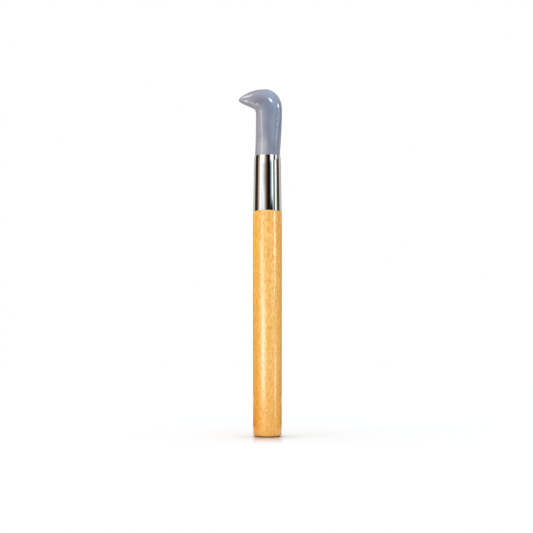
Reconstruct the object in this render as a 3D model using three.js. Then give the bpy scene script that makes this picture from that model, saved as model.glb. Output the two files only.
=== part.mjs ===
// A hand burnisher: a polished agate tooth, cemented into a plated ferrule on a turned wooden handle.
// Millimetres. The tool stands on its butt, +Z runs up its axis, and the tooth's beak points to -X.
// The origin is the middle of the butt face.
import * as THREE from "three";

// Handle: a turned and varnished beech rod with a tenon for the ferrule
const handleLength = 106.1; // butt to shoulder
const buttDiameter = 13.4;
const shoulderDiameter = 13.8;
const buttRounding = 1.6;
const shoulderRoundingWidth = 0.15; // the sanded edge is longer along the handle than across it
const shoulderRoundingHeight = 0.8;
const tenonLength = 12;
const tenonChamfer = 0.6;
const tenonClearance = 0.05; // all round, inside the ferrule

// Ferrule: a plated brass tube that narrows towards the stone, with its mouth drawn in to grip it
const ferruleLength = 26.7;
const ferruleFootDiameter = 13.5;
const ferruleTopDiameter = 12.7; // before its mouth is drawn in
const ferruleWall = 0.24;
const ferruleRimRounding = 0.1;
const mouthDrawIn = 0.14; // all round
const mouthDrawLength = 5;

// Stone, hidden part: a rough ground root that narrows into the cement
const mouthClearance = 0.03; // all round, between the stone and the ferrule's mouth
const rootLength = 11;
const rootEndRounding = 1;

// Stone, shank and head, measured from the ferrule's mouth and from the tool's axis
const shankHeight = 20; // mouth to the foot of the throat
const headRise = 12.5; // foot of the throat to the crown
const backReach = 7; // the back's widest point, behind the axis
const backRise = 2.5; // that point, above the foot of the throat
const backLean = 0.45; // how fast the back leans out above the mouth
const domeFullness = 6.5; // how far the back keeps rising before it rounds over
const crownReach = 1.2; // the crown, in front of the axis
const crownFlatness = 4.1;
const beakReach = 13.75; // the tip, in front of the axis
const tipDrop = 5.3; // the tip, below the crown
const beakTopFlatness = 7.2;
const noseRounding = 1.4; // bluntness of the tip
const throatReach = 5.5; // the front of the shank, in front of the axis
const throatRounding = 1.9;
const throatCornerRise = 2.5; // the corner that the rounding softens, above the foot of the throat
const beakRootReach = 7.25; // where the underside of the beak begins
const undersideSlope = 27; // degrees above the horizontal, towards the tip
const undersideFlatness = 1.85;
const headDepth = 8.8; // thickness of the head across the tool
const beakRootDepth = 7.6; // the same, where the beak begins
const beakSideTaper = 0.45; // how fast the beak's sides draw in at its root

// Cement: fills the ferrule between the stone's root and the tenon
const cementWall = 1.5; // round the end of the root
const cementLevel = 1.6; // below the ferrule's mouth
const bondClearance = 0.04; // all round, to the stone and to the ferrule

// Steps of the curved surfaces
const stepsRound = 56;
const stepsRounding = 4;
const stepsDrawn = 4;
const stepsShank = 9;
const stepsBend = 15;
const stepsBeak = 15;

const shoulderHeight = handleLength;
const tenonTop = shoulderHeight + tenonLength;
const mouthHeight = shoulderHeight + ferruleLength;
const drawnHeight = mouthHeight - mouthDrawLength;
const rootEndHeight = mouthHeight - rootLength;

// Radius of the ferrule's outside at a height above the butt; its bore is one wall smaller.
function ferruleRadius(height) {
  const share = (height - shoulderHeight) / ferruleLength;
  const tapered = THREE.MathUtils.lerp(ferruleFootDiameter / 2, ferruleTopDiameter / 2, share);
  const drawnShare = Math.max(0, height - drawnHeight) / mouthDrawLength;
  return tapered - mouthDrawIn * drawnShare ** 2;
}

function boreRadius(height) {
  return ferruleRadius(height) - ferruleWall;
}

const mouthRadius = boreRadius(mouthHeight) - mouthClearance;
const rootEndRadius = boreRadius(rootEndHeight) - cementWall;

// Radius of the stone's root at a height between its end and the mouth
function rootRadius(height) {
  return THREE.MathUtils.lerp(rootEndRadius, mouthRadius, (height - rootEndHeight) / rootLength);
}

// One point of the root's rounded end, from its flat at step 0 to its side at the last step
function rootEndPoint(step) {
  const angle = ((Math.PI / 2) * step) / stepsRounding;
  const height = rootEndHeight + rootEndRounding * (1 - Math.cos(angle));
  const radius = rootRadius(height) - rootEndRounding * (1 - Math.sin(angle));
  return new THREE.Vector2(radius, height);
}

function rootEnd() {
  return Array.from({ length: stepsRounding + 1 }, (_, step) => rootEndPoint(step));
}

// Part of an ellipse as profile points, from one angle to another, in degrees
function roundedCorner(radius, height, width, rise, fromDegrees, toDegrees) {
  const points = [];
  for (let step = 0; step <= stepsRounding; step++) {
    const angle = THREE.MathUtils.degToRad(
      THREE.MathUtils.lerp(fromDegrees, toDegrees, step / stepsRounding),
    );
    points.push(
      new THREE.Vector2(radius + width * Math.cos(angle), height + rise * Math.sin(angle)),
    );
  }
  return points;
}

// Profile points that follow the ferrule's wall through its drawn mouth, up to a height below the rim
function drawnWall(radiusAt, top) {
  const points = [];
  for (let step = 0; step <= stepsDrawn; step++) {
    const height = THREE.MathUtils.lerp(drawnHeight, top, step / stepsDrawn);
    points.push(new THREE.Vector2(radiusAt(height), height));
  }
  return points;
}

// Turns a profile of (radius, height) points about the tool's axis.
function turned(profile) {
  return new THREE.LatheGeometry(profile, stepsRound).rotateX(Math.PI / 2);
}

function handleGeometry() {
  const buttRadius = buttDiameter / 2;
  const shoulderRadius = shoulderDiameter / 2;
  const tenonRadius = (height) => boreRadius(height) - tenonClearance;
  return turned([
    new THREE.Vector2(0, 0),
    ...roundedCorner(buttRadius - buttRounding, buttRounding, buttRounding, buttRounding, -90, 0),
    ...roundedCorner(
      shoulderRadius - shoulderRoundingWidth,
      shoulderHeight - shoulderRoundingHeight,
      shoulderRoundingWidth,
      shoulderRoundingHeight,
      0,
      90,
    ),
    new THREE.Vector2(tenonRadius(shoulderHeight), shoulderHeight),
    new THREE.Vector2(tenonRadius(tenonTop - tenonChamfer), tenonTop - tenonChamfer),
    new THREE.Vector2(tenonRadius(tenonTop) - tenonChamfer, tenonTop),
    new THREE.Vector2(0, tenonTop),
  ]);
}

function ferruleGeometry() {
  const rim = ferruleRimRounding;
  const profile = [
    new THREE.Vector2(boreRadius(shoulderHeight), shoulderHeight),
    new THREE.Vector2(ferruleRadius(shoulderHeight) - rim, shoulderHeight),
    new THREE.Vector2(ferruleRadius(shoulderHeight + rim), shoulderHeight + rim),
    ...drawnWall(ferruleRadius, mouthHeight - 2 * rim),
    ...roundedCorner(ferruleRadius(mouthHeight) - rim, mouthHeight - rim, rim, rim, 0, 90),
    ...drawnWall(boreRadius, mouthHeight).reverse(),
  ];
  return turned([...profile, profile[0].clone()]);
}

function cementGeometry() {
  const edgeHeight = mouthHeight - cementLevel;
  const outer = (height) => boreRadius(height) - bondClearance;
  const socket = rootEnd().map(({ x, y }) => new THREE.Vector2(x + bondClearance, y));
  return turned([
    new THREE.Vector2(0, tenonTop),
    new THREE.Vector2(outer(tenonTop), tenonTop),
    ...drawnWall(outer, edgeHeight),
    new THREE.Vector2(rootRadius(edgeHeight) + bondClearance, edgeHeight),
    ...socket.reverse(),
    new THREE.Vector2(0, rootEndHeight),
  ]);
}

// One stretch of the stone: its back line and its throat line, as (distance behind the axis, height above
// the mouth), and its half thickness across the tool, each a cubic curve over the same stretch.
function stretch(back, throat, halfDepth) {
  const curve = (points) =>
    new THREE.CubicBezierCurve(...points.map(([x, z]) => new THREE.Vector2(x, z)));
  return {
    back: curve(back),
    throat: curve(throat),
    halfDepth: curve(halfDepth.map((depth, i) => [i / 3, depth])),
  };
}

// The stone's head and shank. The two outlines and the thickness pass from one stretch to the next with the
// same direction and speed, so the polished surface has no crease.
function headStretches() {
  const crown = [-crownReach, shankHeight + headRise];
  const tip = [-beakReach, crown[1] - tipDrop];
  const backTop = [backReach, shankHeight + backRise];
  const throatFoot = [-throatReach, shankHeight];
  const third = shankHeight / 3;

  const slope = THREE.MathUtils.degToRad(undersideSlope);
  const towardsTip = [-Math.cos(slope), Math.sin(slope)];
  const cornerHeight = shankHeight + throatCornerRise;
  const beakRootRun = (beakRootReach - throatReach) / Math.cos(slope);
  const underside = (run) => [
    -throatReach + run * towardsTip[0],
    cornerHeight + run * towardsTip[1],
  ];
  const beakRoot = underside(beakRootRun);

  const shank = stretch(
    [
      [mouthRadius, 0],
      [mouthRadius + backLean, third],
      [backReach, backTop[1] - domeFullness],
      backTop,
    ],
    [
      [-mouthRadius, 0],
      [-throatReach, third],
      [-throatReach, shankHeight - throatRounding],
      throatFoot,
    ],
    [mouthRadius, mouthRadius, headDepth / 2, headDepth / 2],
  );

  const speedUp = beakTopFlatness / crownFlatness;
  const bend = stretch(
    [
      backTop,
      [backReach, backTop[1] + domeFullness],
      [crown[0] + crownFlatness, crown[1]],
      crown,
    ],
    [
      throatFoot,
      [-throatReach, shankHeight + throatRounding],
      underside(beakRootRun - undersideFlatness),
      beakRoot,
    ],
    [
      headDepth / 2,
      headDepth / 2,
      beakRootDepth / 2 + beakSideTaper,
      beakRootDepth / 2,
    ],
  );

  const beak = stretch(
    [
      crown,
      [crown[0] - beakTopFlatness, crown[1]],
      [tip[0], tip[1] + noseRounding],
      tip,
    ],
    [
      beakRoot,
      underside(beakRootRun + speedUp * undersideFlatness),
      [tip[0], tip[1] - noseRounding],
      tip,
    ],
    [
      beakRootDepth / 2,
      beakRootDepth / 2 - speedUp * beakSideTaper,
      noseRounding,
      0,
    ],
  );
  return { shank, bend, beak };
}

// One ring of the stone: an ellipse about its middle, in the plane of a direction in the outline and of Y
function ellipse(middle, halfWidth, halfDepth) {
  const points = [];
  for (let step = 0; step < stepsRound; step++) {
    const angle = (2 * Math.PI * step) / stepsRound;
    points.push(
      new THREE.Vector3(
        middle.x + halfWidth.x * Math.cos(angle),
        halfDepth * Math.sin(angle),
        middle.y + halfWidth.y * Math.cos(angle),
      ),
    );
  }
  return points;
}

function ring(part, share) {
  const back = part.back.getPoint(share);
  const throat = part.throat.getPoint(share);
  const middle = back.clone().add(throat).divideScalar(2);
  const halfWidth = back.clone().sub(throat).divideScalar(2);
  middle.y += mouthHeight;
  return ellipse(middle, halfWidth, part.halfDepth.getPoint(share).y);
}

function stoneRings() {
  const { shank, bend, beak } = headStretches();
  const rings = rootEnd().map(({ x: radius, y: height }) =>
    ellipse(new THREE.Vector2(0, height), new THREE.Vector2(radius, 0), radius),
  );
  for (let step = 0; step < stepsShank; step++) {
    rings.push(ring(shank, step / stepsShank));
  }
  for (let step = 0; step < stepsBend; step++) {
    rings.push(ring(bend, step / stepsBend));
  }
  for (let step = 0; step < stepsBeak; step++) {
    rings.push(ring(beak, Math.sin(((Math.PI / 2) * step) / stepsBeak)));
  }
  return { rings, tip: beak.back.getPoint(1) };
}

// Joins the rings into one closed skin, with a flat end in the cement and a point at the tip.
function stoneGeometry() {
  const { rings, tip } = stoneRings();
  const points = [
    new THREE.Vector3(0, 0, rootEndHeight),
    ...rings.flat(),
    new THREE.Vector3(tip.x, 0, mouthHeight + tip.y),
  ];
  const last = points.length - 1;
  const at = (row, step) => 1 + row * stepsRound + (step % stepsRound);
  const faces = [];
  for (let step = 0; step < stepsRound; step++) {
    faces.push(0, at(0, step + 1), at(0, step));
    for (let row = 0; row < rings.length - 1; row++) {
      faces.push(at(row, step), at(row, step + 1), at(row + 1, step + 1));
      faces.push(at(row, step), at(row + 1, step + 1), at(row + 1, step));
    }
    faces.push(at(rings.length - 1, step), at(rings.length - 1, step + 1), last);
  }
  const geometry = new THREE.BufferGeometry().setFromPoints(points);
  geometry.setIndex(faces);
  geometry.computeVertexNormals();
  return geometry;
}

const varnishedBeech = new THREE.MeshStandardMaterial({
  color: 0xf2b869,
  roughness: 0.35,
  metalness: 0,
});
const platedBrass = new THREE.MeshStandardMaterial({
  color: 0xd9dadb,
  roughness: 0.06,
  metalness: 1,
});
const polishedAgate = new THREE.MeshStandardMaterial({
  color: 0x8c93a7,
  roughness: 0.06,
  metalness: 0,
});
const hardCement = new THREE.MeshStandardMaterial({
  color: 0x6e5a44,
  roughness: 0.8,
  metalness: 0,
});

function piece(name, geometry, material) {
  const mesh = new THREE.Mesh(geometry, material);
  mesh.name = name;
  return mesh;
}

const burnisher = new THREE.Group();
burnisher.add(
  piece("wooden_handle", handleGeometry(), varnishedBeech),
  piece("ferrule", ferruleGeometry(), platedBrass),
  piece("setting_cement", cementGeometry(), hardCement),
  piece("agate_stone", stoneGeometry(), polishedAgate),
);

export default burnisher;
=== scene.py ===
# Looks of a hand burnisher: an agate tooth in a plated ferrule on a varnished beech handle.
# Metres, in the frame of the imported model: +Z runs up the tool's axis, and the tooth's beak
# points to -X.
import math

import bmesh
import bpy
from mathutils import Matrix, Vector


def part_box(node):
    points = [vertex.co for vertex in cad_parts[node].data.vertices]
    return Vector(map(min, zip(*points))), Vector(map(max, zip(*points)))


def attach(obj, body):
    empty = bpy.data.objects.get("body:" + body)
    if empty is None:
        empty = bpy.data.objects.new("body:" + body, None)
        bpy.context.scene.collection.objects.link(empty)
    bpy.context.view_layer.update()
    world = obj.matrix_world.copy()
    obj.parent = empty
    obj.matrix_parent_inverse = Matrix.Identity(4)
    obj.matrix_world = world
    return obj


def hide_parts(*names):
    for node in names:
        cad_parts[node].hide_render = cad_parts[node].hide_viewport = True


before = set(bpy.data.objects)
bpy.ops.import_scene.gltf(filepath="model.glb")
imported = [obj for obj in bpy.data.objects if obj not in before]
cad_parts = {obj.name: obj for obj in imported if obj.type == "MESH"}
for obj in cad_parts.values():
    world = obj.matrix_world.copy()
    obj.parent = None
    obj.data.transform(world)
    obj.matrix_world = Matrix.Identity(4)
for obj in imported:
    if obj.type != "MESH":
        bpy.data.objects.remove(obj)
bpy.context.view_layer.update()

MM = 0.001

# Heights along the axis and reaches beside it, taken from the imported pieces
handle_low, handle_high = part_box("wooden_handle")
ferrule_low, ferrule_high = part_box("ferrule")
stone_low, stone_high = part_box("agate_stone")
BUTT_HEIGHT = handle_low.z
SHOULDER_HEIGHT = ferrule_low.z
TENON_TOP = handle_high.z
MOUTH_HEIGHT = ferrule_high.z
ROOT_END_HEIGHT = stone_low.z
CROWN_HEIGHT = stone_high.z
SHOULDER_RADIUS = handle_high.x
FERRULE_FOOT_RADIUS = ferrule_high.x
BACK_REACH = stone_high.x
TIP_REACH = -stone_low.x

# Handle
BUTT_RADIUS = 6.7 * MM
BUTT_ROUNDING = 1.6 * MM
SHOULDER_ROUNDING_WIDTH = 0.15 * MM
SHOULDER_ROUNDING_HEIGHT = 0.8 * MM
TENON_CHAMFER = 0.6 * MM
TENON_CLEARANCE = 0.05 * MM

# Ferrule
FERRULE_TOP_RADIUS = 6.35 * MM  # before its mouth is drawn in
FERRULE_WALL = 0.24 * MM
RIM_ROUNDING = 0.1 * MM
MOUTH_DRAW_IN = 0.14 * MM
MOUTH_DRAW_LENGTH = 5 * MM

# Stone, hidden root
MOUTH_CLEARANCE = 0.03 * MM
CEMENT_WALL = 1.5 * MM
ROOT_END_ROUNDING = 1 * MM

# Stone, shank and head. A reach is a distance from the tool's axis. A fullness, flatness or
# rounding is how far the outline holds its direction there: the longer, the gentler its turn.
SHANK_HEIGHT = 20 * MM  # mouth to the foot of the throat
BACK_RISE = 2.5 * MM  # the back's widest point, above the foot of the throat
BACK_LEAN = 0.45 * MM
DOME_FULLNESS = 6.5 * MM
CROWN_REACH = 1.2 * MM
CROWN_FLATNESS = 4.1 * MM
TIP_DROP = 5.3 * MM
BEAK_TOP_FLATNESS = 7.2 * MM
NOSE_ROUNDING = 1.4 * MM
THROAT_REACH = 5.5 * MM
THROAT_ROUNDING = 1.9 * MM
THROAT_CORNER_RISE = 2.5 * MM
BEAK_ROOT_REACH = 7.25 * MM
UNDERSIDE_SLOPE = math.radians(27)
UNDERSIDE_FLATNESS = 1.85 * MM
HEAD_HALF_DEPTH = 4.4 * MM
BEAK_ROOT_HALF_DEPTH = 3.8 * MM
BEAK_SIDE_TAPER = 0.45 * MM

# Fineness of the surfaces
STEPS_ROUND = 128
STEPS_CORNER = 10
STEPS_DRAWN = 16
STEPS_SHANK = 24
STEPS_BEND = 40
STEPS_BEAK = 40
SUPPORT_SHARE = 0.02  # of a straight side, from its ends to its support points
SAME_POINT = 0.001 * MM  # points closer than this are one
CRISP_ANGLE = math.radians(35)  # corners sharper than this aren't shaded smooth


# Mesh helpers

def finish_piece(name, bm, material):
    """Closes a mesh, turns its faces outwards, and makes it a piece on the tool's one body."""
    bmesh.ops.remove_doubles(bm, verts=bm.verts, dist=SAME_POINT)
    bmesh.ops.recalc_face_normals(bm, faces=bm.faces)
    bm.normal_update()
    for face in bm.faces:
        face.smooth = True
    for edge in bm.edges:
        edge.smooth = edge.calc_face_angle(math.pi) < CRISP_ANGLE
    mesh = bpy.data.meshes.new(name)
    bm.to_mesh(mesh)
    bm.free()
    mesh.materials.append(material)
    piece = bpy.data.objects.new(name, mesh)
    bpy.context.scene.collection.objects.link(piece)
    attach(piece, "root")
    return piece


def rounded_corner(radius, height, width, rise, from_degrees, to_degrees):
    """Part of an ellipse as (radius, height) points of a profile."""
    points = []
    for step in range(STEPS_CORNER + 1):
        share = step / STEPS_CORNER
        angle = math.radians(from_degrees + (to_degrees - from_degrees) * share)
        points.append((radius + width * math.cos(angle), height + rise * math.sin(angle)))
    return points


def turned(profile, closed):
    """Spins a profile of (radius, height) points about the tool's axis."""
    bm = bmesh.new()
    points = [bm.verts.new((radius, 0, height)) for radius, height in profile]
    for low, high in zip(points, points[1:]):
        bm.edges.new((low, high))
    if closed:
        bm.edges.new((points[-1], points[0]))
    bmesh.ops.spin(
        bm, geom=bm.verts[:] + bm.edges[:], cent=(0, 0, 0), axis=(0, 0, 1),
        angle=2 * math.pi, steps=STEPS_ROUND, use_merge=True,
    )
    return bm


# Ferrule and handle share the ferrule's bore

def ferrule_radius(height):
    share = (height - SHOULDER_HEIGHT) / (MOUTH_HEIGHT - SHOULDER_HEIGHT)
    tapered = FERRULE_FOOT_RADIUS + (FERRULE_TOP_RADIUS - FERRULE_FOOT_RADIUS) * share
    drawn = max(0, height - (MOUTH_HEIGHT - MOUTH_DRAW_LENGTH)) / MOUTH_DRAW_LENGTH
    return tapered - MOUTH_DRAW_IN * drawn ** 2


def bore_radius(height):
    return ferrule_radius(height) - FERRULE_WALL


def drawn_wall(radius_at, top):
    """Profile points that follow the ferrule's wall through its drawn mouth."""
    low = MOUTH_HEIGHT - MOUTH_DRAW_LENGTH
    heights = [low + (top - low) * step / STEPS_DRAWN for step in range(STEPS_DRAWN + 1)]
    return [(radius_at(height), height) for height in heights]


def side_supports(low, high):
    """Two points just inside a straight side's ends, which keep a rounding's shading off it."""
    return [
        (low[0] + (high[0] - low[0]) * share, low[1] + (high[1] - low[1]) * share)
        for share in (SUPPORT_SHARE, 1 - SUPPORT_SHARE)
    ]


def make_ferrule(material):
    """A thin tapered tube with rounded rims, its mouth drawn in onto the stone."""
    rim = RIM_ROUNDING
    outside = ferrule_radius(MOUTH_HEIGHT) - rim
    drawn = drawn_wall(ferrule_radius, MOUTH_HEIGHT - 2 * rim)
    profile = [(bore_radius(SHOULDER_HEIGHT), SHOULDER_HEIGHT)]
    profile += rounded_corner(FERRULE_FOOT_RADIUS - rim, SHOULDER_HEIGHT + rim, rim, rim, -90, 0)
    profile += side_supports(profile[-1], drawn[0]) + drawn
    profile += rounded_corner(outside, MOUTH_HEIGHT - rim, rim, rim, 0, 90)
    profile += reversed(drawn_wall(bore_radius, MOUTH_HEIGHT))
    piece = finish_piece("plated_ferrule", turned(profile, closed=True), material)
    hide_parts("ferrule")


def make_handle(material):
    """A turned stick with a rounded butt, a sanded shoulder and a tenon in the ferrule."""
    side = SHOULDER_RADIUS - SHOULDER_ROUNDING_WIDTH
    edge = SHOULDER_HEIGHT - SHOULDER_ROUNDING_HEIGHT
    tenon_edge = TENON_TOP - TENON_CHAMFER
    profile = [(0, BUTT_HEIGHT)]
    profile += rounded_corner(
        BUTT_RADIUS - BUTT_ROUNDING, BUTT_HEIGHT + BUTT_ROUNDING,
        BUTT_ROUNDING, BUTT_ROUNDING, -90, 0,
    )
    shoulder = rounded_corner(side, edge, SHOULDER_ROUNDING_WIDTH, SHOULDER_ROUNDING_HEIGHT, 0, 90)
    profile += side_supports(profile[-1], shoulder[0]) + shoulder
    profile.append((bore_radius(SHOULDER_HEIGHT) - TENON_CLEARANCE, SHOULDER_HEIGHT))
    profile.append((bore_radius(tenon_edge) - TENON_CLEARANCE, tenon_edge))
    profile.append((bore_radius(TENON_TOP) - TENON_CLEARANCE - TENON_CHAMFER, TENON_TOP))
    profile.append((0, TENON_TOP))
    piece = finish_piece("beech_handle", turned(profile, closed=False), material)
    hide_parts("wooden_handle")
    return piece


# Stone

def bezier(a, b, c, d, share):
    """Where a cubic curve is at a share of its way. Works for points and for plain numbers."""
    rest = 1 - share
    start, end = a * rest ** 3, d * share ** 3
    return start + b * (3 * rest ** 2 * share) + c * (3 * rest * share ** 2) + end


def outline(*points):
    """Points of the stone's outline from (distance behind the axis, height above the mouth)."""
    return [Vector((x, 0, MOUTH_HEIGHT + z)) for x, z in points]


def head_stretches():
    """Shank, bend and beak: the back line, the throat line and the half depth of each.

    Neighbours meet with the same direction and speed, so the stone shows no seam between them.
    """
    mouth_radius = bore_radius(MOUTH_HEIGHT) - MOUTH_CLEARANCE
    third = SHANK_HEIGHT / 3
    back_top = (BACK_REACH, SHANK_HEIGHT + BACK_RISE)
    throat_foot = (-THROAT_REACH, SHANK_HEIGHT)
    crown = (-CROWN_REACH, CROWN_HEIGHT - MOUTH_HEIGHT)
    tip = (-TIP_REACH, crown[1] - TIP_DROP)
    beak_root_run = (BEAK_ROOT_REACH - THROAT_REACH) / math.cos(UNDERSIDE_SLOPE)

    def underside(run):
        corner_height = SHANK_HEIGHT + THROAT_CORNER_RISE
        return (
            -THROAT_REACH - run * math.cos(UNDERSIDE_SLOPE),
            corner_height + run * math.sin(UNDERSIDE_SLOPE),
        )

    shank = (
        outline(
            (mouth_radius, 0), (mouth_radius + BACK_LEAN, third),
            (BACK_REACH, back_top[1] - DOME_FULLNESS), back_top,
        ),
        outline(
            (-mouth_radius, 0), (-THROAT_REACH, third),
            (-THROAT_REACH, SHANK_HEIGHT - THROAT_ROUNDING), throat_foot,
        ),
        (mouth_radius, mouth_radius, HEAD_HALF_DEPTH, HEAD_HALF_DEPTH),
    )
    bend = (
        outline(
            back_top, (BACK_REACH, back_top[1] + DOME_FULLNESS),
            (crown[0] + CROWN_FLATNESS, crown[1]), crown,
        ),
        outline(
            throat_foot, (-THROAT_REACH, SHANK_HEIGHT + THROAT_ROUNDING),
            underside(beak_root_run - UNDERSIDE_FLATNESS), underside(beak_root_run),
        ),
        (
            HEAD_HALF_DEPTH, HEAD_HALF_DEPTH,
            BEAK_ROOT_HALF_DEPTH + BEAK_SIDE_TAPER, BEAK_ROOT_HALF_DEPTH,
        ),
    )
    speed_up = BEAK_TOP_FLATNESS / CROWN_FLATNESS
    beak = (
        outline(
            crown, (crown[0] - BEAK_TOP_FLATNESS, crown[1]),
            (tip[0], tip[1] + NOSE_ROUNDING), tip,
        ),
        outline(
            underside(beak_root_run), underside(beak_root_run + speed_up * UNDERSIDE_FLATNESS),
            (tip[0], tip[1] - NOSE_ROUNDING), tip,
        ),
        (
            BEAK_ROOT_HALF_DEPTH, BEAK_ROOT_HALF_DEPTH - speed_up * BEAK_SIDE_TAPER,
            NOSE_ROUNDING, 0,
        ),
    )
    return shank, bend, beak


def ring(bm, middle, half_width, half_depth):
    """One elliptical ring of the stone. half_width is a vector in the plane of its outline."""
    across = half_width.cross(Vector((0, 1, 0)))
    matrix = Matrix((half_width, Vector((0, half_depth, 0)), across)).transposed().to_4x4()
    matrix.translation = middle
    made = bmesh.ops.create_circle(
        bm, cap_ends=False, radius=1, segments=STEPS_ROUND, matrix=matrix,
    )
    corners = set(made["verts"])
    return [edge for edge in bm.edges if edge.verts[0] in corners and edge.verts[1] in corners]


def stretch_ring(bm, stretch, share):
    back_line, throat_line, half_depths = stretch
    back = bezier(*back_line, share)
    throat = bezier(*throat_line, share)
    return ring(bm, (back + throat) / 2, (back - throat) / 2, bezier(*half_depths, share))


def root_end_rings(bm):
    """The root's rounded end, from its flat to its side."""
    end_radius = bore_radius(ROOT_END_HEIGHT) - CEMENT_WALL
    mouth_radius = bore_radius(MOUTH_HEIGHT) - MOUTH_CLEARANCE
    rings = []
    for step in range(STEPS_CORNER + 1):
        angle = math.pi / 2 * step / STEPS_CORNER
        height = ROOT_END_HEIGHT + ROOT_END_ROUNDING * (1 - math.cos(angle))
        share = (height - ROOT_END_HEIGHT) / (MOUTH_HEIGHT - ROOT_END_HEIGHT)
        side = end_radius + (mouth_radius - end_radius) * share
        radius = side - ROOT_END_ROUNDING * (1 - math.sin(angle))
        rings.append(ring(bm, Vector((0, 0, height)), Vector((radius, 0, 0)), radius))
    return rings


def make_stone(material):
    """One closed skin, from the root's end up the shank and over the bend to the beak's tip."""
    bm = bmesh.new()
    shank, bend, beak = head_stretches()
    rings = root_end_rings(bm)
    rings += [stretch_ring(bm, shank, step / STEPS_SHANK) for step in range(STEPS_SHANK)]
    rings += [stretch_ring(bm, bend, step / STEPS_BEND) for step in range(STEPS_BEND)]
    for step in range(STEPS_BEAK):
        closer_to_tip = math.sin(math.pi / 2 * step / STEPS_BEAK)
        rings.append(stretch_ring(bm, beak, closer_to_tip))
    for below, above in zip(rings, rings[1:]):
        bmesh.ops.bridge_loops(bm, edges=below + above)
    bmesh.ops.contextual_create(bm, geom=rings[0])
    nose = bmesh.ops.extrude_edge_only(bm, edges=rings[-1])["geom"]
    tip = bezier(*beak[0], 1)
    bmesh.ops.pointmerge(
        bm, verts=[item for item in nose if isinstance(item, bmesh.types.BMVert)], merge_co=tip,
    )
    piece = finish_piece("agate_tooth", bm, material)
    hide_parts("agate_stone")
    return piece


# Shader helpers

def new_material(name):
    """A material with its node tree, and the shader that its surface comes from."""
    material = bpy.data.materials.new(name)
    material.use_nodes = True
    return material, material.node_tree, material.node_tree.nodes["Principled BSDF"]


def node(tree, kind, inputs, **settings):
    """Adds a node, and sets or links its inputs."""
    made = tree.nodes.new("ShaderNode" + kind)
    for name, value in settings.items():
        setattr(made, name, value)
    fill(tree, made, inputs)
    return made


def fill(tree, made, inputs):
    for name, value in inputs.items():
        if isinstance(value, bpy.types.NodeSocket):
            tree.links.new(value, made.inputs[name])
        else:
            made.inputs[name].default_value = value


def place(tree, scale=(1, 1, 1)):
    """Points of the piece in metres, squeezed or stretched for a pattern."""
    points = node(tree, "TexCoord", {}).outputs["Object"]
    return node(tree, "Mapping", {"Vector": points, "Scale": scale}).outputs["Vector"]


def coordinates(tree):
    """X, Y and Z of the piece's points in metres."""
    points = node(tree, "TexCoord", {}).outputs["Object"]
    return node(tree, "SeparateXYZ", {"Vector": points}).outputs


def noise(tree, points, scale, detail=4.0, roughness=0.5, distortion=0.0):
    """Soft noise, about this many patches to the metre before they are stretched."""
    made = node(tree, "TexNoise", {
        "Vector": points, "Scale": scale, "Detail": detail, "Roughness": roughness,
        "Distortion": distortion,
    })
    return made.outputs["Fac"]


def spread(tree, value, low, high, to_low=0.0, to_high=1.0):
    """Maps a range of values onto another, held at its ends."""
    made = node(tree, "MapRange", {
        "Value": value, "From Min": low, "From Max": high, "To Min": to_low, "To Max": to_high,
    }, interpolation_type="SMOOTHSTEP")
    return made.outputs["Result"]


def product(tree, first, second):
    """Two values multiplied. Of two shares, it is the share where both hold."""
    return node(tree, "Math", {0: first, 1: second}, operation="MULTIPLY").outputs[0]


def blend(tree, share, first, second, way="MIX"):
    """Mixes two colours by a share."""
    made = node(tree, "Mix", {0: share, 6: first, 7: second}, data_type="RGBA", blend_type=way)
    return made.outputs[2]


def colour(hexadecimal):
    """Linear colour of a surface from its screen colour."""
    channels = [int(hexadecimal[i:i + 2], 16) / 255 for i in (0, 2, 4)]
    linear = [c / 12.92 if c <= 0.04045 else ((c + 0.055) / 1.055) ** 2.4 for c in channels]
    return (*linear, 1)


# Finishes

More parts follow.
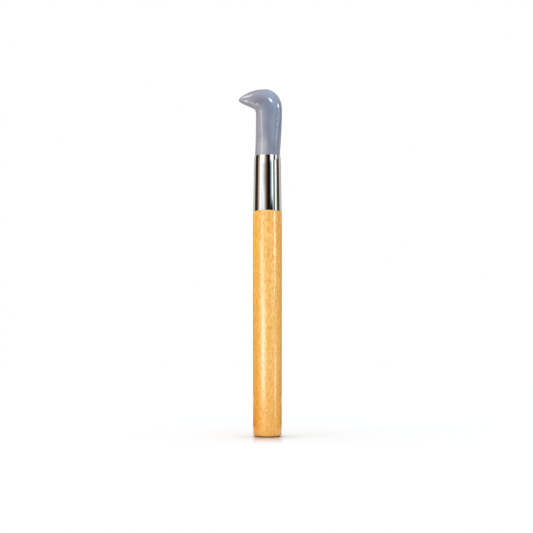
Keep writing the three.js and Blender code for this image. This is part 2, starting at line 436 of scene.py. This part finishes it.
def varnished_beech():
    """Fine pale fibres and short dark flecks, under a varnish that dips over the flecks."""
    material, tree, surface = new_material("varnished beech")
    streaks = noise(tree, place(tree, scale=(1, 1, 0.05)), 380, detail=4, roughness=0.6)
    fibres = noise(tree, place(tree, scale=(1, 1, 0.28)), 1500, detail=3, roughness=0.7)
    specks = noise(tree, place(tree, scale=(1, 1, 0.45)), 1700, detail=2, roughness=0.6)
    wood = blend(tree, spread(tree, streaks, 0.36, 0.62), colour("f5cc7c"), colour("f0bd6a"))
    wood = blend(tree, spread(tree, fibres, 0.36, 0.52, 0.65, 0.0), wood, colour("fadf9e"))
    wood = blend(tree, spread(tree, fibres, 0.5, 0.66, 0.0, 0.7), wood, colour("e6a750"))
    wood = blend(tree, spread(tree, specks, 0.56, 0.68, 0.0, 0.7), wood, colour("de9438"))

    # Painted shade on the stick: yellower on the left and at the foot, a little darker on the
    # right, and brown on the butt's edge, which faces down, where the varnish has also worn thin
    at = coordinates(tree)
    left = spread(tree, at["X"], -6 * MM, -1.5 * MM, 1.0, 0.0)
    right = spread(tree, at["X"], 3 * MM, 6.5 * MM)
    low = spread(tree, at["Z"], 0, 40 * MM, 1.0, 0.0)
    edge = spread(tree, at["Z"], 0.35 * MM, 0.85 * MM, 1.0, 0.0)
    painted_left_shade = blend(
        tree, spread(tree, at["Z"], 0, 100 * MM), colour("f6e1a6"), colour("fffcd2"))
    painted_left_shade = blend(
        tree, spread(tree, at["Z"], 3 * MM, 22 * MM), colour("f4d47c"), painted_left_shade)
    wood = blend(tree, left, wood, painted_left_shade, "MULTIPLY")
    wood = blend(tree, low, wood, colour("fceed0"), "MULTIPLY")
    wood = blend(tree, right, wood, colour("f6f4f0"), "MULTIPLY")
    wood = blend(tree, edge, wood, colour("c39e3f"), "MULTIPLY")
    dips = node(tree, "Bump", {"Height": specks, "Strength": 1.0, "Distance": 0.06 * MM})
    fill(tree, surface, {
        "Base Color": wood, "Roughness": 0.5, "IOR": 1.5, "Specular IOR Level": 0.0,
        "Coat Weight": spread(tree, edge, 0.0, 1.0, 1.0, 0.2), "Coat Roughness": 0.14,
        "Coat IOR": 1.5, "Coat Tint": colour("fff4e0"), "Coat Normal": dips.outputs["Normal"],
    })
    return material


def polished_plating():
    """Bright metal with faint wiping marks round it."""
    material, tree, surface = new_material("polished plating")
    wiped = noise(tree, place(tree, scale=(1, 1, 6)), 500, detail=3)
    tone = blend(tree, spread(tree, wiped, 0.4, 0.7), colour("f1f1f0"), colour("e6e6e5"))
    fill(tree, surface, {
        "Base Color": tone, "Metallic": 1.0,
        "Roughness": spread(tree, wiped, 0.35, 0.75, 0.035, 0.06),
    })
    return material


def cloudy_agate():
    """Grey in front and blue behind, in soft zones: partly the stone's own colour, partly painted
    light and shade.
    """
    material, tree, surface = new_material("cloudy agate")
    clouds = noise(tree, place(tree, scale=(1, 1, 0.6)), 190, detail=3, distortion=0.6)
    at = coordinates(tree)

    # Shares that change between two places, in millimetres
    def behind_axis(start, end, from_share=0.0, to_share=1.0):
        return spread(tree, at["X"], start * MM, end * MM, from_share, to_share)

    def above_mouth(start, end, from_share=0.0, to_share=1.0):
        low, high = MOUTH_HEIGHT + start * MM, MOUTH_HEIGHT + end * MM
        return spread(tree, at["Z"], low, high, from_share, to_share)

    def below_crown(start, end, from_share=0.0, to_share=1.0):
        low, high = CROWN_HEIGHT - start * MM, CROWN_HEIGHT - end * MM
        return spread(tree, at["Z"], low, high, from_share, to_share)

    # Shank: a painted glow over the mouth, painted grey shade on the front edge, a pale foot behind
    # Paler towards the front, partly painted light from that side
    shank = blend(tree, behind_axis(-5, -0.5), colour("a6a4a7"), colour("808595"))
    back = blend(tree, above_mouth(2, 14), colour("747d91"), colour("75849e"))
    shank = blend(tree, behind_axis(-3, 4), shank, back)
    glow = product(tree, above_mouth(4, 11, 0.8, 0.0), behind_axis(-2, 1.5, 1.0, 0.0))
    shank = blend(tree, glow, shank, colour("b6b3b7"))
    shank = blend(tree, behind_axis(-5.6, -4.3), colour("8c8a8d"), shank)
    foot = product(tree, above_mouth(6, 15, 1.0, 0.0), behind_axis(3, 4.6))
    shank = blend(tree, foot, shank, colour("848ea4"))

    # Head, from the pale beak over the grey throat to the blue heel
    head = blend(tree, behind_axis(-8.5, -4), colour("8a868c"), colour("727280"))
    head = blend(tree, behind_axis(-10.2, -8), colour("9a979c"), head)
    head = blend(tree, behind_axis(-3.5, 3), head, colour("8191ad"))
    tone = blend(tree, below_crown(12, 7), shank, head)

    # Painted highlight in the corner under the throat, and painted light on the crown's top
    throat = product(tree, below_crown(11.5, 9.5), below_crown(8.5, 7.3, 1.0, 0.0))
    throat = product(tree, throat, behind_axis(-6, -4.2, 0.8, 0.0))
    tone = blend(tree, throat, tone, colour("a7a5a8"))
    crown = blend(tree, behind_axis(-6, -1), colour("9b9dab"), colour("98a3be"))
    tone = blend(tree, below_crown(7.5, 2, 0.0, 0.7), tone, crown)
    tone = blend(tree, spread(tree, clouds, 0.4, 0.65, 0.0, 0.35), tone, colour("8d919e"))
    fill(tree, surface, {"Base Color": tone, "Roughness": 0.14, "IOR": 1.54})
    return material


def set_resin():
    """Brown and gritty; it shows only where the ferrule is taken off."""
    material, tree, surface = new_material("set resin")
    grit = noise(tree, place(tree), 1500, detail=4)
    tone = blend(tree, spread(tree, grit, 0.35, 0.65), colour("5f4c38"), colour("7d684f"))
    bump = node(tree, "Bump", {"Height": grit, "Strength": 0.4, "Distance": 0.1 * MM})
    fill(tree, surface, {"Base Color": tone, "Roughness": 0.75, "Normal": bump.outputs["Normal"]})
    return material


# Floor, air and lights

FLOOR_RADIUS = 4.0
FLOOR_STEPS = 96
FLOOR_TONE = (0.91, 0.92, 0.93, 1)
FLOOR_POLISH = 0.9  # at the butt; it fades out between the next two distances
POLISH_REACH = (7 * MM, 50 * MM)
POLISH_SIDES = (5 * MM, 7.5 * MM)
PAINTED_SHADOW_TONE = (0.80, 0.875, 0.92, 1)  # a painted bluish shadow in front of the butt, which also cancels the wood's orange light
PAINTED_SHADOW_PLACE = (0, -10 * MM, 0)
PAINTED_SHADOW_REACH = (6 * MM, 20 * MM)
AIR_LEVEL = 0.65
STUDIO_RADIUS = 0.8  # boards that the ferrule and the stone reflect
STONE_LIGHT_RADIUS = 0.75
TABLE_RADIUS = 0.15  # low boards beside the handle, for its varnish
TABLE_FLAG_RADIUS = 0.10
RIM_LIGHT_RADIUS = 0.09
FLOOR_BOARD_HEIGHT = 3 * MM
BOARD_STEP = 3  # degrees
BRIGHT_BOARD = 4  # a stronger board is sought as a lamp is, so its reflection has less grain


def pale_floor():
    """White and matt, but polished round the butt, where it mirrors the handle's foot,
    and with a painted bluish shadow in front of the butt.
    """
    material, tree, surface = new_material("pale floor")
    points = node(tree, "TexCoord", {}).outputs["Object"]
    away = node(tree, "VectorMath", {0: points}, operation="LENGTH").outputs["Value"]
    aside = node(tree, "Math", {0: coordinates(tree)["X"]}, operation="ABSOLUTE").outputs[0]
    # Painted shadow: bluish and darker in front of the butt
    from_painted_shadow = node(tree, "VectorMath", {0: points, 1: PAINTED_SHADOW_PLACE}, operation="DISTANCE")
    painted_shadow_fade = spread(tree, from_painted_shadow.outputs["Value"], *PAINTED_SHADOW_REACH)
    fading = spread(tree, away, *POLISH_REACH, FLOOR_POLISH, 0.0)
    strip = spread(tree, aside, *POLISH_SIDES, 1.0, 0.0)
    fill(tree, surface, {
        "Base Color": blend(tree, painted_shadow_fade, PAINTED_SHADOW_TONE, FLOOR_TONE),
        "Roughness": 0.35, "Specular IOR Level": 0.0,
        "Coat Weight": product(tree, fading, strip), "Coat Roughness": 0.12, "Coat IOR": 1.45,
    })
    return material


def make_floor():
    bm = bmesh.new()
    bmesh.ops.create_circle(bm, cap_ends=True, radius=FLOOR_RADIUS, segments=FLOOR_STEPS)
    mesh = bpy.data.meshes.new("floor")
    bm.to_mesh(mesh)
    bm.free()
    mesh.materials.append(pale_floor())
    floor = bpy.data.objects.new("floor", mesh)
    floor.location.z = BUTT_HEIGHT
    bpy.context.scene.collection.objects.link(floor)


def make_air():
    """Even light all round, and white to the camera, in reflections and through clear things."""
    world = bpy.data.worlds.new("studio air")
    world.use_nodes = True
    tree = world.node_tree
    path = node(tree, "LightPath", {})
    seen = node(tree, "Math", {
        0: path.outputs["Is Camera Ray"], 1: path.outputs["Is Glossy Ray"],
    }, operation="MAXIMUM")
    seen = node(tree, "Math", {
        0: seen.outputs[0], 1: path.outputs["Is Transmission Ray"],
    }, operation="MAXIMUM")
    strength = node(tree, "MapRange", {
        "Value": seen.outputs[0], "To Min": AIR_LEVEL, "To Max": 1.0,
    })
    background = tree.nodes["Background"]
    fill(tree, background, {"Color": (1, 1, 1, 1), "Strength": strength.outputs["Result"]})
    bpy.context.scene.world = world


def soft_edges(tree, value, low, high, fade_low, fade_high):
    """1 between two limits, fading to 0 at each over a width inside it, if it has one."""
    rising = spread(tree, value, low, low + fade_low) if fade_low else 1.0
    falling = spread(tree, value, high - fade_high, high, 1.0, 0.0) if fade_high else 1.0
    return product(tree, rising, falling)


def board_light(name, bearings, reach, screen_colour, strength, fade_sides, fade_ends,
                standing, cover):
    """A board's glow, which thins to nothing at its soft edges.

    A standing board reaches between two heights, and one that lies, between two distances.
    """
    material = bpy.data.materials.new(name)
    material.use_nodes = True
    material.cycles.emission_sampling = "FRONT_BACK" if strength > BRIGHT_BOARD else "NONE"
    tree = material.node_tree
    tree.nodes.clear()
    at = coordinates(tree)
    forward = product(tree, at["Y"], -1.0)
    bearing = node(tree, "Math", {0: at["X"], 1: forward}, operation="ARCTAN2").outputs[0]
    sides = [math.radians(angle) for angle in (*bearings, *fade_sides)]
    if standing:
        along = at["Z"]
    else:
        points = node(tree, "TexCoord", {}).outputs["Object"]
        along = node(tree, "VectorMath", {0: points}, operation="LENGTH").outputs["Value"]
    share = product(
        tree, soft_edges(tree, bearing, *sides), soft_edges(tree, along, *reach, *fade_ends))
    uncovered = node(tree, "Math", {0: share, 1: -cover, 2: 1.0}, operation="MULTIPLY_ADD")
    clear = node(tree, "BsdfTransparent", {"Color": uncovered.outputs[0]}).outputs[0]
    glow = node(tree, "Emission", {
        "Color": colour(screen_colour), "Strength": product(tree, share, strength),
    }).outputs[0]
    surface = node(tree, "AddShader", {0: clear, 1: glow}).outputs[0]
    node(tree, "OutputMaterial", {"Surface": surface})
    return material


def board(name, bearings, reach, screen_colour, strength=1.0, fade_sides=(1, 1),
          fade_ends=(5 * MM, 5 * MM), radius=STUDIO_RADIUS, cover=1.0, shines_on=None):
    """A curved board round the tool, which only polished surfaces see.

    Bearings are in degrees from the camera, and grow towards the right of the picture. The board
    stands between two heights at a radius, or with no radius it lies over the floor between
    two distances from the tool. Where boards overlap, the smaller radius is in front. A board
    hides a share of what is behind it, its cover. If it shines on one piece, it gives no light
    to the others, and is dark to them as far as it covers.
    """
    bm = bmesh.new()
    if radius:
        ends = [bm.verts.new((0, -radius, height)) for height in reach]
    else:
        ends = [bm.verts.new((0, -distance, FLOOR_BOARD_HEIGHT)) for distance in reach]
    edge = bm.edges.new(ends)
    left, right = (math.radians(angle) for angle in bearings)
    bmesh.ops.rotate(bm, verts=ends, cent=(0, 0, 0), matrix=Matrix.Rotation(left, 3, "Z"))
    bmesh.ops.spin(
        bm, geom=[*ends, edge], cent=(0, 0, 0), axis=(0, 0, 1), angle=right - left,
        steps=max(2, math.ceil((bearings[1] - bearings[0]) / BOARD_STEP)),
    )
    mesh = bpy.data.meshes.new(name)
    bm.to_mesh(mesh)
    bm.free()
    mesh.materials.append(board_light(
        name, bearings, reach, screen_colour, strength, fade_sides, fade_ends,
        standing=bool(radius), cover=cover,
    ))
    made = bpy.data.objects.new(name, mesh)
    bpy.context.scene.collection.objects.link(made)
    made.visible_camera = False
    made.visible_shadow = False
    made.visible_diffuse = False
    made.visible_transmission = False
    if shines_on:
        lit = bpy.data.collections.new(name)
        lit.objects.link(shines_on)
        made.light_linking.receiver_collection = lit


def lamp(name, direction, strength, degrees):
    """A far, broad lamp along a direction, not seen in reflections. At 1, white stays white."""
    data = bpy.data.lights.new(name, "SUN")
    data.energy = strength * math.pi
    data.angle = math.radians(degrees)
    made = bpy.data.objects.new(name, data)
    made.rotation_mode = "QUATERNION"
    made.rotation_quaternion = Vector(direction).to_track_quat("-Z", "Y")
    made.visible_glossy = False
    bpy.context.scene.collection.objects.link(made)


def make_lights(handle, stone):
    """Broad lamps for plain light, and the boards that the polished surfaces show."""
    lamp("overhead lamp", (0.1, 0.1, -1), 0.38, 70)
    lamp("front lamp", (0.0, 1.0, -0.15), 0.22, 60)
    lamp("left lamp", (0.85, 0.52, -0.1), 0.155, 60)
    make_studio_boards()
    make_stone_lights(stone)
    make_table_boards(handle)


def make_studio_boards():
    """The bands that the ferrule shows, from the left back round the camera to the right back."""
    room = (0.0, 0.62)
    tall = (0.0, 1.5)
    board("back left", (-180, -138), tall, "a4a2a0", fade_sides=(0, 8))
    board("back left corner", (-150, -121), tall, "d8d6d2", fade_sides=(6, 6), radius=0.79)
    board("left flag", (-130, -80), room, "3a2a1c", fade_sides=(4, 6))
    board("peach wall", (-85, -64), room, "c8a27e", fade_sides=(6, 8), radius=0.79)
    board("left panel", (-72, -6), room, "ffffff", 1.2, fade_sides=(8, 34), radius=0.78)
    board("grey door", (-34, 4), room, "6e5c46", fade_sides=(8, 14), radius=0.785)
    board("camera side", (-24, 28), room, "200e02", fade_sides=(18, 4), radius=0.79)
    board("smudge on the door", (-44, -4), (0.245, 0.30), "483c34", 0.35, (12, 12), (0.02, 0.012),
          radius=0.77, cover=0.35)
    board("window, left half", (23, 40), room, "6c98bc", fade_sides=(4, 8), radius=0.78)
    board("window, right half", (34, 52), room, "eef9ff", 1.3, (5, 3), radius=0.77)
    board("window, top", (22, 58), (0.29, 0.62), "f4fcff", 1.2, (4, 4), (0.06, 0.01), radius=0.765)
    board("window frame", (49, 65), room, "2c3438", fade_sides=(2, 3), radius=0.79)
    board("window frame, top", (50, 76), (0.30, 0.62), "2c3438", 1, (2, 3), (0.03, 0.01),
          radius=0.784)
    board("right strip", (63, 80), (0.0, 0.262), "ffffff", 1.1, (3, 6), (0.001, 0.02), radius=0.78)
    board("right strip, middle", (66, 85), (0.242, 0.34), "ffffff", 1.1, (3, 6), (0.02, 0.03),
          radius=0.78)
    board("right strip, top", (71, 99), (0.31, 0.62), "ffffff", 1, (4, 6), (0.03, 0.01),
          radius=0.782)
    board("right flag", (78, 130), room, "504438", fade_sides=(8, 6), radius=0.795)
    board("back right corner", (114, 150), tall, "d2d2d2", fade_sides=(8, 6), radius=0.79)
    board("back right", (138, 180), tall, "9a9896", fade_sides=(8, 0))
    above = (0.60, 2.6)
    board("left flag, top", (-180, -104), above, "1c1a20", 1, (0, 16), (0.1, 0.3), radius=0.78)
    board("right flag, top", (140, 180), above, "1c1a20", 1, (16, 0), (0.1, 0.3), radius=0.78)


def make_stone_lights(stone):
    """Lights that show only as the stone's highlights.

    They are on the dome and the beak's top, down the shank's left, down the right from the heel
    to the ferrule, and under the beak.
    """
    beam = {"cover": 0, "shines_on": stone}
    high = {"radius": STONE_LIGHT_RADIUS, **beam}
    board("dome window", (11, 31), (0.49, 0.67), "ffffff", 16, (4, 4), (0.03, 0.03), **high)
    board("tall box", (-78, -33), (0.56, 1.12), "ffffff", 9, (8, 8), (0.08, 0.08), **high)
    board("left strip", (-62, -51), (0.27, 0.52), "ffffff", 5, (3, 3), (0.02, 0.04), **high)
    board("right streak", (66, 80), (0.37, 0.53), "ffffff", 19, (3, 3), (0.01, 0.06), **high)
    board("right streak, neck", (71, 78), (0.345, 0.385), "ffffff", 11, (2, 2), (0.02, 0.01),
          **high)
    board("right streak, tail", (70, 76.5), (0.312, 0.355), "ffffff", 6, (2, 3), (0.01, 0.01),
          **high)
    board("right streak, foot", (88, 100), (0.316, 0.345), "ffffff", 4, (3, 3), (0.01, 0.01),
          **high)
    board("floor box", (-49, -39), (0.175, 0.6), "ffece0", 30, (4, 2.5), (0.03, 0.12), None, **beam)
    board("floor glow", (-60, -38), (0.14, 0.75), "ffe4d4", 2, (6, 6), (0.04, 0.15), None, **beam)


def make_table_boards(handle):
    """Low lights and flags round the handle, for its varnish's streaks and dark sides."""
    beam = {"radius": TABLE_RADIUS, "shines_on": handle}
    board("table box, top", (-62, -22), (0.05, 0.16), "e6eeff", 9, (18, 18), (0.03, 0.10), **beam)
    board("table box", (-56, -6), (0.0, 0.10), "e6eeff", 11, (18, 24), (0.03, 0.05),
          radius=TABLE_RADIUS + 1 * MM, shines_on=handle)
    board("upper table line", (54, 62), (0.07, 0.14), "ffffff", 26, (3, 3), (0.03, 0.01), **beam)
    board("lower table line", (60, 68), (0.0, 0.06), "ffffff", 12, (3, 3), (0.01, 0.03), **beam)
    board("table window", (20, 50), (0.0, 0.14), "e8f2ff", 1, (8, 8), (0.02, 0.01), **beam)
    board("left floor flag", (-180, -70), (0.02, 0.35), "201004", 1, (0, 10), (0.01, 0.05), None)
    board("right floor flag", (70, 180), (0.02, 0.35), "201004", 1, (10, 0), (0.01, 0.05), None)
    flag = {"fade_ends": (2 * MM, 10 * MM), "radius": TABLE_FLAG_RADIUS}
    board("left table flag", (-180, -78), (0.014, 0.118), "201004", 1, (0, 10), **flag)
    board("right table flag", (78, 180), (0.014, 0.118), "201004", 1, (10, 0), **flag)
    rim = {**flag, "radius": RIM_LIGHT_RADIUS, "cover": 0, "shines_on": handle}
    board("left rim light", (-180, -78), (0.0, 0.13), "a8682a", 1, (0, 10), **rim)
    board("right rim light", (78, 180), (0.0, 0.13), "805026", 1, (10, 0), **rim)


# Camera: level with the lower third of the handle, looking slightly up

CAMERA_PLACE = Vector((-0.435, -530, 38)) * MM
CAMERA_TILT = math.radians(4.5297)
CAMERA_LENS = 75.674  # this and the sensor's width are in millimetres, as Blender takes them
SENSOR_WIDTH = 36.0
NEAREST_SEEN = 10 * MM


def make_camera():
    data = bpy.data.cameras.new("camera")
    data.lens = CAMERA_LENS
    data.sensor_width = SENSOR_WIDTH
    data.clip_start = NEAREST_SEEN
    camera = bpy.data.objects.new("camera", data)
    camera.location = CAMERA_PLACE
    camera.rotation_euler = (math.pi / 2 + CAMERA_TILT, 0, 0)
    bpy.context.scene.collection.objects.link(camera)
    bpy.context.scene.camera = camera


def finish_cement(material):
    """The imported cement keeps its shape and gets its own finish."""
    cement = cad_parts["setting_cement"]
    cement.data.materials.clear()
    cement.data.materials.append(material)


# The scene

make_camera()
handle = make_handle(varnished_beech())
make_ferrule(polished_plating())
stone = make_stone(cloudy_agate())
finish_cement(set_resin())
make_floor()
make_air()
make_lights(handle, stone)
bpy.context.scene.view_settings.view_transform = "Standard"
